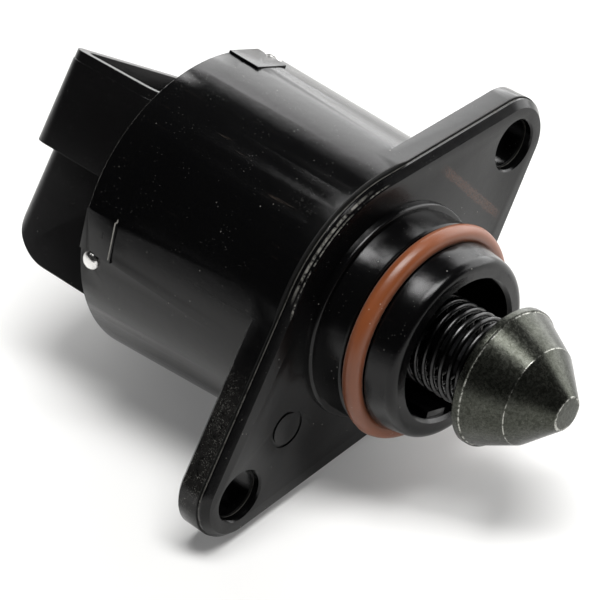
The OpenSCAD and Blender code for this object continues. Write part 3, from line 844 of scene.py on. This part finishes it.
class Bench:
    """Modelling steps on Blender's operators.

    weld and seam_weld join points that lie closer, in metres. Faces that turn by less than flat_to
    are one face, and edges that turn by more than sharp_from are rounded, both in degrees.
    """

    weld = 0.002 * MM
    seam_weld = 0.0001 * MM
    flat_to = 0.4
    sharp_from = 35.0

    def __init__(self, frame: dict, axis: Axis) -> None:
        """Keeps the frame and the axis.

        Args:
            axis: The valve's axis.
        """
        self.frame = frame
        self.axis = axis
        self.slot_of = {p["node"]: p["material_slot"] for p in frame["record"]["subparts"]}

    @staticmethod
    def only(obj: bpy.types.Object) -> None:
        """Selects one object and makes it active."""
        bpy.ops.object.select_all(action="DESELECT")
        obj.select_set(True)
        bpy.context.view_layer.objects.active = obj

    @staticmethod
    def edit(obj: bpy.types.Object, mode: str = "FACE") -> None:
        """Enters edit mode with all selected.

        Args:
            obj: The object.
            mode: What is selected: VERT, EDGE or FACE.
        """
        Bench.only(obj)
        bpy.ops.object.mode_set(mode="EDIT")
        bpy.ops.mesh.select_mode(type=mode)
        bpy.ops.mesh.select_all(action="SELECT")

    @staticmethod
    def leave() -> None:
        """Leaves edit mode."""
        bpy.ops.object.mode_set(mode="OBJECT")

    @staticmethod
    def settle(obj: bpy.types.Object) -> None:
        """Moves an object's place, turn and size into its mesh."""
        Bench.only(obj)
        bpy.ops.object.transform_apply(location=True, rotation=True, scale=True)

    @staticmethod
    def modify(obj: bpy.types.Object, kind: str, **settings: object) -> None:
        """Adds a modifier and applies it.

        Args:
            obj: The object.
            kind: The modifier's type.
            **settings: Its properties.
        """
        Bench.only(obj)
        modifier = obj.modifiers.new(kind.lower(), kind)
        for name, value in settings.items():
            setattr(modifier, name, value)
        bpy.ops.object.modifier_apply(modifier=modifier.name)

    def turned(
        self, name: str, stations: Sequence[Point2], segments: int = 144, solid: bool = True
    ) -> bpy.types.Object:
        """Turns a shape about the valve's axis, ring by ring.

        Args:
            name: The piece's name.
            stations: Place along X and radius of each ring, in metres, in order.
            segments: Number of sides.
            solid: True for a bar with capped ends, False for a ring with a closed section.

        Returns:
            The piece.
        """
        bpy.ops.object.select_all(action="DESELECT")
        last_x, last_r = stations[0]
        bpy.ops.mesh.primitive_circle_add(
            vertices=segments,
            radius=last_r,
            fill_type="NGON" if solid else "NOTHING",
            location=self.axis.at(last_x),
            rotation=(0.0, math.pi / 2, 0.0),
        )
        piece = bpy.context.object
        piece.name = name
        self.settle(piece)
        self.edit(piece, "FACE" if solid else "EDGE")
        for x, radius in list(stations[1:]) + ([] if solid else [stations[0]]):
            bpy.ops.mesh.extrude_region_move(TRANSFORM_OT_translate={"value": (x - last_x, 0.0, 0.0)})
            share = radius / last_r
            bpy.ops.transform.resize(value=(1.0, share, share), center_override=self.axis.at(x))
            last_x, last_r = x, radius
        bpy.ops.mesh.select_all(action="SELECT")
        bpy.ops.mesh.remove_doubles(threshold=self.seam_weld)
        bpy.ops.mesh.normals_make_consistent(inside=False)
        self.leave()
        return piece

    def bore(self, node: str) -> float:
        """Gives the smallest distance of a CAD node's surface from the axis, in metres."""
        mesh = self.frame["nodes"][node].data
        return min(math.hypot(v.co.y - self.axis.y, v.co.z - self.axis.z) for v in mesh.vertices)

    def smoothed_copy(self, node: str, name: str, edge: float, segments: int = 2) -> bpy.types.Object:
        """Copies a CAD node, joins its triangles and rounds its sharp edges.

        Args:
            node: The CAD node.
            name: The new piece's name.
            edge: Width of the rounding, in metres.
            segments: Steps of the rounding.

        Returns:
            The piece.
        """
        source = self.frame["nodes"][node]
        piece = bpy.data.objects.new(name, source.data.copy())
        bpy.context.scene.collection.objects.link(piece)
        self.edit(piece, "VERT")
        bpy.ops.mesh.remove_doubles(threshold=self.weld)
        bpy.ops.mesh.dissolve_limited(angle_limit=math.radians(self.flat_to))
        bpy.ops.mesh.customdata_custom_splitnormals_clear()
        self.leave()
        self.modify(
            piece,
            "BEVEL",
            width=edge,
            segments=segments,
            limit_method="ANGLE",
            angle_limit=math.radians(self.sharp_from),
            use_clamp_overlap=True,
            harden_normals=False,
        )
        return piece

    def finish(self, piece: bpy.types.Object, node: str, body: Optional[Body], shade: Shade) -> None:
        """Paints a piece, hides the CAD node that it stands for and lets it ride.

        Args:
            piece: The new piece.
            node: The CAD node that it replaces.
            body: The body that it rides on, or None for a piece that spans two bodies, which is then left
                on no body.
            shade: How its faces are shaded.
        """
        self.only(piece)
        bpy.ops.object.shade_smooth_by_angle(angle=math.radians(shade.value))
        slot = self.slot_of[node]
        piece.data.materials.clear()
        piece.data.materials.append(FINISHES[slot].material(self.axis))
        if body is not None:
            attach(piece, body.value)
        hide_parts(node)
        LOG.info("%s replaces %s: %d faces", piece.name, node, len(piece.data.polygons))

    def paint_node(self, node: str) -> None:
        """Gives a CAD node that stays its finish."""
        obj = self.frame["nodes"][node]
        finish = FINISHES[self.slot_of[node]].material(self.axis)
        if not obj.data.materials:
            obj.data.materials.append(finish)
        for slot in obj.material_slots:
            slot.material = finish
        LOG.info("%s painted as %s", node, finish.name)


def eased(points: Sequence[Point2], radius: float, steps: int = 4) -> list[Point2]:
    """Rounds the corners of a profile, apart from its two ends.

    Args:
        points: The corners.
        radius: Radius of the rounding, which shrinks where a side is short.
        steps: Number of chords of each rounding.

    Returns:
        The rounded profile.
    """
    result: list[Point2] = [points[0]]
    for before, corner, after in zip(points, points[1:], points[2:]):
        here = Vector(corner)
        back = Vector(before) - here
        ahead = Vector(after) - here
        half = back.angle(ahead) / 2
        reach = min(radius / math.tan(half), back.length * 0.45, ahead.length * 0.45)
        start = here + back.normalized() * reach
        end = here + ahead.normalized() * reach
        for k in range(steps + 1):
            t = k / steps
            point = start * (1 - t) ** 2 + here * 2 * t * (1 - t) + end * t * t
            result.append((point.x, point.y))
    return result + [points[-1]]


# Sub-assemblies


@dataclass
class MouldedBody:
    """The black mouldings: the housing and the rear cap with its socket."""

    bench: Bench
    edge: float = 0.22 * MM

    def build(self) -> None:
        """Builds both mouldings with rounded edges."""
        for node, name in (("housing", "housing_moulding"), ("connector_cap", "cap_moulding")):
            moulding = self.bench.smoothed_copy(node, name, self.edge, 3)
            self.bench.finish(moulding, node, Body.VALVE, Shade.MACHINED)


@dataclass
class SealRing:
    """The terracotta ring in its groove, with the mould's flash lines."""

    bench: Bench
    flash: float = 0.035 * MM
    sunk: float = 0.007 * MM
    around: int = 192
    across: int = 40

    def build(self) -> None:
        """Builds the ring."""
        low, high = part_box("o_ring")
        cord = high.x - low.x
        centre_r = (high.y - low.y) / 2 - cord / 2
        mid = (low.x + high.x) / 2
        section: list[Point2] = []
        for i in range(self.across):
            a = 2 * math.pi * i / self.across
            r = cord / 2 + (self.flash if i in (0, self.across // 2) else -self.sunk)
            section.append((mid + r * math.sin(a), centre_r + r * math.cos(a)))
        ring = self.bench.turned("seal_ring", section, self.around, solid=False)
        self.bench.finish(ring, "o_ring", Body.VALVE, Shade.SOFT)


@dataclass
class ValveHead:
    """The turned pintle with its collar, tapers and flat tip."""

    bench: Bench
    edge: float = 0.1 * MM
    collar_w: float = 1.0 * MM
    collar_chamfer: float = 0.25 * MM
    collar_fall: float = 0.02 * MM
    groove_w: float = 0.1 * MM
    taper_len: float = 4.0 * MM
    taper_r: float = 7.5 * MM
    shoulder_r: float = 5.45 * MM
    tip_r: float = 1.9 * MM
    seat_depth: float = 1.3 * MM
    seat_r: float = 5.325 * MM
    bore_r: float = 1.82 * MM
    centre_r: float = 0.4 * MM
    around: int = 160

    def build(self) -> None:
        """Builds the pintle."""
        low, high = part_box("pintle")
        rear, tip = low.x, high.x
        collar_r = (high.y - low.y) / 2
        front = rear + self.collar_w
        shoulder = front + self.taper_len
        outline = [
            (rear + self.seat_depth, self.bore_r),
            (rear + self.seat_depth, self.seat_r),
            (rear, self.seat_r),
            (rear, collar_r - self.collar_chamfer),
            (rear + self.collar_chamfer, collar_r),
            (front - self.groove_w, collar_r - self.collar_fall),
            (front, self.taper_r),
            (shoulder, self.shoulder_r),
            (tip, self.tip_r),
            (tip, self.centre_r),
        ]
        head = self.bench.turned("valve_head", eased(outline, self.edge), self.around)
        self.bench.finish(head, "pintle", Body.SHAFT, Shade.MACHINED)


@dataclass
class CoilSpring:
    """The round-wire spring that holds the pintle against the screw's play."""

    bench: Bench
    wire: float = 0.65 * MM
    mean_r: float = 4.75 * MM
    turns: float = 12.5
    closed_turns: float = 1.0
    closed_share: float = 1.06
    steps: int = 40
    sides: int = 8

    def height(self, turn: float, length: float) -> float:
        """Gives the wire's place along the spring.

        Args:
            turn: Turns from the rear end.
            length: Length between the first and the last centre.

        Returns:
            The distance from the rear centre.
        """
        pitch = self.wire * self.closed_share
        shut = self.closed_turns
        if turn < shut:
            return turn * pitch
        if turn > self.turns - shut:
            return length - (self.turns - turn) * pitch
        open_pitch = (length - 2 * shut * pitch) / (self.turns - 2 * shut)
        return shut * pitch + (turn - shut) * open_pitch

    def build(self) -> None:
        """Builds the spring, which stretches between the nose's floor and the pintle."""
        low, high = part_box("spring")
        length = high.x - low.x - self.wire
        line = bpy.data.curves.new("spring_line", "CURVE")
        line.dimensions = "3D"
        line.bevel_depth = self.wire / 2
        line.bevel_resolution = self.sides // 2
        line.use_fill_caps = True
        spline = line.splines.new("POLY")
        count = int(self.turns * self.steps)
        spline.points.add(count)
        axis = self.bench.axis
        for i in range(count + 1):
            turn = self.turns * i / count
            a = 2 * math.pi * turn
            x = low.x + self.wire / 2 + self.height(turn, length)
            place = (x, axis.y + self.mean_r * math.sin(a), axis.z - self.mean_r * math.cos(a), 1.0)
            spline.points[i].co = place
        piece = bpy.data.objects.new("coil_spring", line)
        bpy.context.scene.collection.objects.link(piece)
        self.bench.only(piece)
        bpy.ops.object.convert(target="MESH")
        piece = bpy.context.object
        self.bench.finish(piece, "spring", None, Shade.SOFT)
        axis.at(low.x)
        axis.at(high.x)
        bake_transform(piece)


@dataclass
class CapPins:
    """The bright pins in the rear rim and the blades in the socket."""

    bench: Bench
    edge: float = 0.12 * MM

    def build(self) -> None:
        """Builds the pins and the blades with eased edges."""
        pins = self.bench.smoothed_copy("cap_pins", "rim_pins", self.edge, 3)
        self.bench.finish(pins, "cap_pins", Body.VALVE, Shade.SOFT)
        for node in sorted(n for n in self.bench.frame["nodes"] if n.startswith("terminal_")):
            blade = self.bench.smoothed_copy(node, node.replace("terminal", "contact_blade"), self.edge)
            self.bench.finish(blade, node, Body.VALVE, Shade.MACHINED)


@dataclass
class Winding:
    """The two coils of enamelled wire, whose outer turns stand side by side."""

    bench: Bench
    wire: float = 0.36 * MM
    groove_share: float = 0.45
    steps: int = 6
    around: int = 96

    def build(self) -> None:
        """Builds both windings."""
        for node in ("front_coil", "rear_coil"):
            self.wind(node)

    def wind(self, node: str) -> None:
        """Winds one coil.

        Args:
            node: The CAD node that it replaces.
        """
        low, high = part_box(node)
        outer = (high.y - low.y) / 2
        inner = self.bench.bore(node)
        turns = round((high.x - low.x) / self.wire)
        pitch = (high.x - low.x) / turns
        section: list[Point2] = [(low.x, inner)]
        for i in range(turns * self.steps + 1):
            lift = abs(math.sin(math.pi * i / self.steps))
            groove = pitch * self.groove_share * (1.0 - lift)
            section.append((low.x + pitch * i / self.steps, outer - groove))
        section.append((high.x, inner))
        coil = self.bench.turned(node.replace("coil", "winding"), section, self.around, solid=False)
        self.bench.finish(coil, node, Body.VALVE, Shade.SOFT)


@dataclass
class LeadScrew:
    """The screw, with a two-start thread cut in its rear half."""

    bench: Bench
    lead: float = 2.0 * MM
    starts: int = 2
    depth: float = 0.28 * MM
    sunk_share: float = 1.35
    root_share: float = 0.72
    crest_share: float = 0.3
    first_share: float = 0.9
    thread_len: float = 9.0 * MM
    runout: float = 0.4 * MM
    edge: float = 0.08 * MM
    steps: int = 36

    def build(self) -> None:
        """Builds the screw."""
        low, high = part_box("lead_screw")
        major = (high.z - low.z) / 2
        core = major - self.depth
        end = low.x + self.thread_len
        bar = self.bench.smoothed_copy("lead_screw", "threaded_screw", self.edge)
        for x in (end, end + self.runout):
            self.bench.edit(bar)
            bpy.ops.mesh.bisect(plane_co=self.bench.axis.at(x), plane_no=(1.0, 0.0, 0.0))
            self.bench.leave()
        for vertex in bar.data.vertices:
            vertex.select = vertex.co.x < end + self.edge
        bpy.ops.object.mode_set(mode="EDIT")
        bpy.ops.mesh.select_mode(type="VERT")
        share = core / major
        bpy.ops.transform.resize(value=(1.0, share, share), center_override=self.bench.axis.at(end))
        self.bench.leave()
        ridges = [self.ridge(low.x, major, k) for k in range(self.starts)]
        self.bench.only(bar)
        for ridge in ridges:
            ridge.select_set(True)
        bpy.ops.object.join()
        self.bench.finish(bar, "lead_screw", Body.SHAFT, Shade.MACHINED)

    def ridge(self, x: float, major: float, start: int) -> bpy.types.Object:
        """Makes one start of the thread.

        Args:
            x: Rear end of the screw.
            major: Outer radius of the thread.
            start: Number of the start.

        Returns:
            The ridge.
        """
        pitch = self.lead / self.starts
        turns = int((self.thread_len - pitch * 2) / self.lead)
        foot = major - self.depth * self.sunk_share
        place = self.bench.axis.at(x + pitch * (self.first_share + start))
        bpy.ops.object.select_all(action="DESELECT")
        bpy.ops.mesh.primitive_plane_add(size=1.0, location=place)
        ridge = bpy.context.object
        ridge.name = f"thread_start_{start}"
        root, crest = pitch * self.root_share / 2, pitch * self.crest_share / 2
        tooth = ((-root, foot), (root, foot), (-crest, major), (crest, major))
        for vertex, (along, radius) in zip(ridge.data.vertices, tooth):
            vertex.co = (along, 0.0, radius)
        self.bench.edit(ridge)
        bpy.ops.mesh.delete(type="ONLY_FACE")
        self.bench.leave()
        self.bench.modify(
            ridge,
            "SCREW",
            axis="X",
            angle=2 * math.pi,
            screw_offset=self.lead,
            iterations=turns,
            steps=self.steps,
            render_steps=self.steps,
            use_smooth_shade=False,
        )
        self.bench.edit(ridge, "EDGE")
        bpy.ops.mesh.select_all(action="DESELECT")
        bpy.ops.mesh.select_non_manifold()
        bpy.ops.mesh.fill_holes(sides=4)
        bpy.ops.mesh.select_all(action="SELECT")
        bpy.ops.mesh.normals_make_consistent(inside=False)
        self.bench.leave()
        self.bench.settle(ridge)
        return ridge


@dataclass
class InnerWorks:
    """The other inner pieces, with the rounded edges of drawn, moulded and ground parts."""

    bench: Bench
    fine: float = 0.05 * MM
    drawn: float = 0.14 * MM
    moulded: float = 0.1 * MM

    def build(self) -> None:
        """Rounds the inner pieces and paints each CAD node that is still shown."""
        widths = {
            "cup": self.drawn,
            "bobbin": self.moulded,
            "rotor_hub": self.moulded,
            "rotor_magnet": self.moulded,
            "guide_bush": self.moulded,
            "rear_bush": self.moulded,
            "race": self.drawn,
            "thrust_washer": self.fine,
        }
        bodies = {"rotor_hub": Body.ROTOR, "rotor_magnet": Body.ROTOR, "bearing_inner_race": Body.ROTOR}
        for node in sorted(self.bench.frame["nodes"]):
            for ending, width in widths.items():
                if node.endswith(ending):
                    piece = self.bench.smoothed_copy(node, f"{node}_piece", width)
                    self.bench.finish(piece, node, bodies.get(node, Body.VALVE), Shade.MACHINED)
        for node, obj in sorted(self.bench.frame["nodes"].items()):
            if not obj.hide_render:
                self.bench.paint_node(node)


# Studio


@dataclass
class Studio:
    """The camera, the lamps, the floor and the white surround."""

    bench: Bench
    lens_mm: float = 152.136
    sensor_mm: float = 36.0
    aim_mm: Point3 = (-6.772, -4.898, 1.705)
    distance_mm: float = 265.05
    azimuth: float = -44.431
    elevation: float = 39.516
    roll: float = -2.31
    floor_drop: float = 0.02 * MM
    floor_size: float = 4.0
    floor_glow: float = 0.14
    paper: Tint = rgb(0.77, 0.766, 0.754)
    rear_r: float = 18.0 * MM
    front_r: float = 16.8 * MM
    parting_x: float = -1.1 * MM
    horizon: float = 0.7
    horizon_top: float = 0.12
    horizon_soft: float = 0.06
    ceiling: float = 0.008
    panel_azimuth: float = 110.0
    panel_distance: float = 0.55
    panel_top: float = 0.475
    panel_foot: float = -0.016
    panel_width: float = 1.9
    panel_level: float = 4.0
    top_place: Point3 = (0.05, 0.022, 0.5)
    top_size: Point2 = (0.165, 0.41)
    top_level: float = 15.0

    def camera(self) -> None:
        """Stands the camera where the photograph was taken."""
        rise = math.radians(self.elevation)
        back = Vector(self.toward(self.azimuth, math.cos(rise), math.sin(rise)))
        data = bpy.data.cameras.new("photo_camera")
        data.lens = self.lens_mm
        data.sensor_width = self.sensor_mm
        data.clip_start = 0.005
        data.clip_end = 10.0
        camera = bpy.data.objects.new("photo_camera", data)
        bpy.context.scene.collection.objects.link(camera)
        turn = back.to_track_quat("Z", "Y").to_matrix() @ Matrix.Rotation(math.radians(self.roll), 3, "Z")
        place = Vector(self.aim_mm) * MM + back * self.distance_mm * MM
        camera.matrix_world = Matrix.Translation(place) @ turn.to_4x4()
        bpy.context.scene.camera = camera

    def lamp(
        self, name: str, place: Point3, size: Point2, level: float, aim: Point3 = (0.0, 0.0, 0.0)
    ) -> None:
        """Adds a soft rectangular lamp.

        Args:
            name: The lamp's name.
            place: Its place in metres.
            size: Its width and height in metres.
            level: Brightness of its face, where 1 is white.
            aim: The point that it faces.
        """
        data = bpy.data.lights.new(name, "AREA")
        data.shape = "RECTANGLE"
        data.size, data.size_y = size
        data.energy = level * math.pi * size[0] * size[1]
        lamp = bpy.data.objects.new(name, data)
        bpy.context.scene.collection.objects.link(lamp)
        lamp.location = place
        lamp.rotation_euler = (Vector(place) - Vector(aim)).to_track_quat("Z", "Y").to_euler()

    def floor(self) -> None:
        """Lays the floor under the two points that the valve rests on."""
        low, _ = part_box("housing")
        rear_z = self.bench.axis.z - self.rear_r
        front_z = self.bench.axis.z - self.front_r
        slope = math.atan2(front_z - rear_z, self.parting_x - low.x)
        bpy.ops.object.select_all(action="DESELECT")
        place = (self.parting_x, 0, front_z - self.floor_drop)
        bpy.ops.mesh.primitive_plane_add(size=self.floor_size, location=place, rotation=(0, -slope, 0))
        floor = bpy.context.object
        floor.name = "studio_floor"
        material = bpy.data.materials.new("studio_floor")
        material.use_nodes = True
        graph = Graph(material.node_tree)
        paper = graph.read(0, "ShaderNodeBsdfDiffuse", {"Color": self.paper})
        glow = graph.read(0, "ShaderNodeEmission", {"Color": rgb(1, 1, 1), "Strength": self.floor_glow})
        lit = graph.read(0, "ShaderNodeAddShader", {0: paper, 1: glow})
        path = graph.node("ShaderNodeLightPath")
        seen = Signal(graph, path.outputs["Is Camera Ray"])
        for kind in ("Is Glossy Ray", "Is Transmission Ray"):
            seen = graph.math("MAXIMUM", seen, Signal(graph, path.outputs[kind]))
        graph.surface(graph.read(0, "ShaderNodeMixShader", {0: seen, 1: paper, 2: lit}))
        floor.data.materials.append(material)

    def surround(self) -> None:
        """Makes the room: a pale horizon and a dim ceiling."""
        world = bpy.data.worlds.new("surround")
        world.use_nodes = True
        bpy.context.scene.world = world
        graph = Graph(world.node_tree)
        _, _, up = graph.split(graph.read("Generated", "ShaderNodeTexCoord"))
        low = up.between(self.horizon_top, self.horizon_top - self.horizon_soft)
        level = low * (self.horizon - self.ceiling) + self.ceiling
        light = graph.read(0, "ShaderNodeBackground", {"Color": rgb(1, 1, 1), "Strength": level})
        graph.surface(light, "ShaderNodeOutputWorld")

    @staticmethod
    def toward(azimuth: float, distance: float, height: float) -> Point3:
        """Gives a place around the valve.

        Args:
            azimuth: Direction in degrees.
            distance: Distance along the floor.
            height: Height above the origin.

        Returns:
            The place, in the unit of the distance.
        """
        turn = math.radians(azimuth)
        return (distance * math.cos(turn), distance * math.sin(turn), height)

    def build(self) -> None:
        """Sets up the studio."""
        bpy.context.scene.view_settings.view_transform = "Standard"
        self.camera()
        self.floor()
        self.surround()
        tall = self.panel_top - self.panel_foot
        middle = self.toward(self.panel_azimuth, self.panel_distance, self.panel_top - tall / 2)
        self.lamp("back_panel", middle, (self.panel_width, tall), self.panel_level, (0.0, 0.0, middle[2]))
        self.lamp("top_lamp", self.top_place, self.top_size, self.top_level)


def main() -> None:
    """Builds the valve piece by piece and stages it."""
    logging.basicConfig(level=logging.INFO, format="%(name)s: %(message)s")
    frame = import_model()
    bench = Bench(frame, Axis.of_frame())
    assemblies = (
        MouldedBody(bench),
        SealRing(bench),
        ValveHead(bench),
        CoilSpring(bench),
        CapPins(bench),
        Winding(bench),
        LeadScrew(bench),
        InnerWorks(bench),
        Studio(bench),
    )
    for assembly in assemblies:
        LOG.info("building %s", type(assembly).__name__)
        assembly.build()


if __name__ == "__main__":
    main()
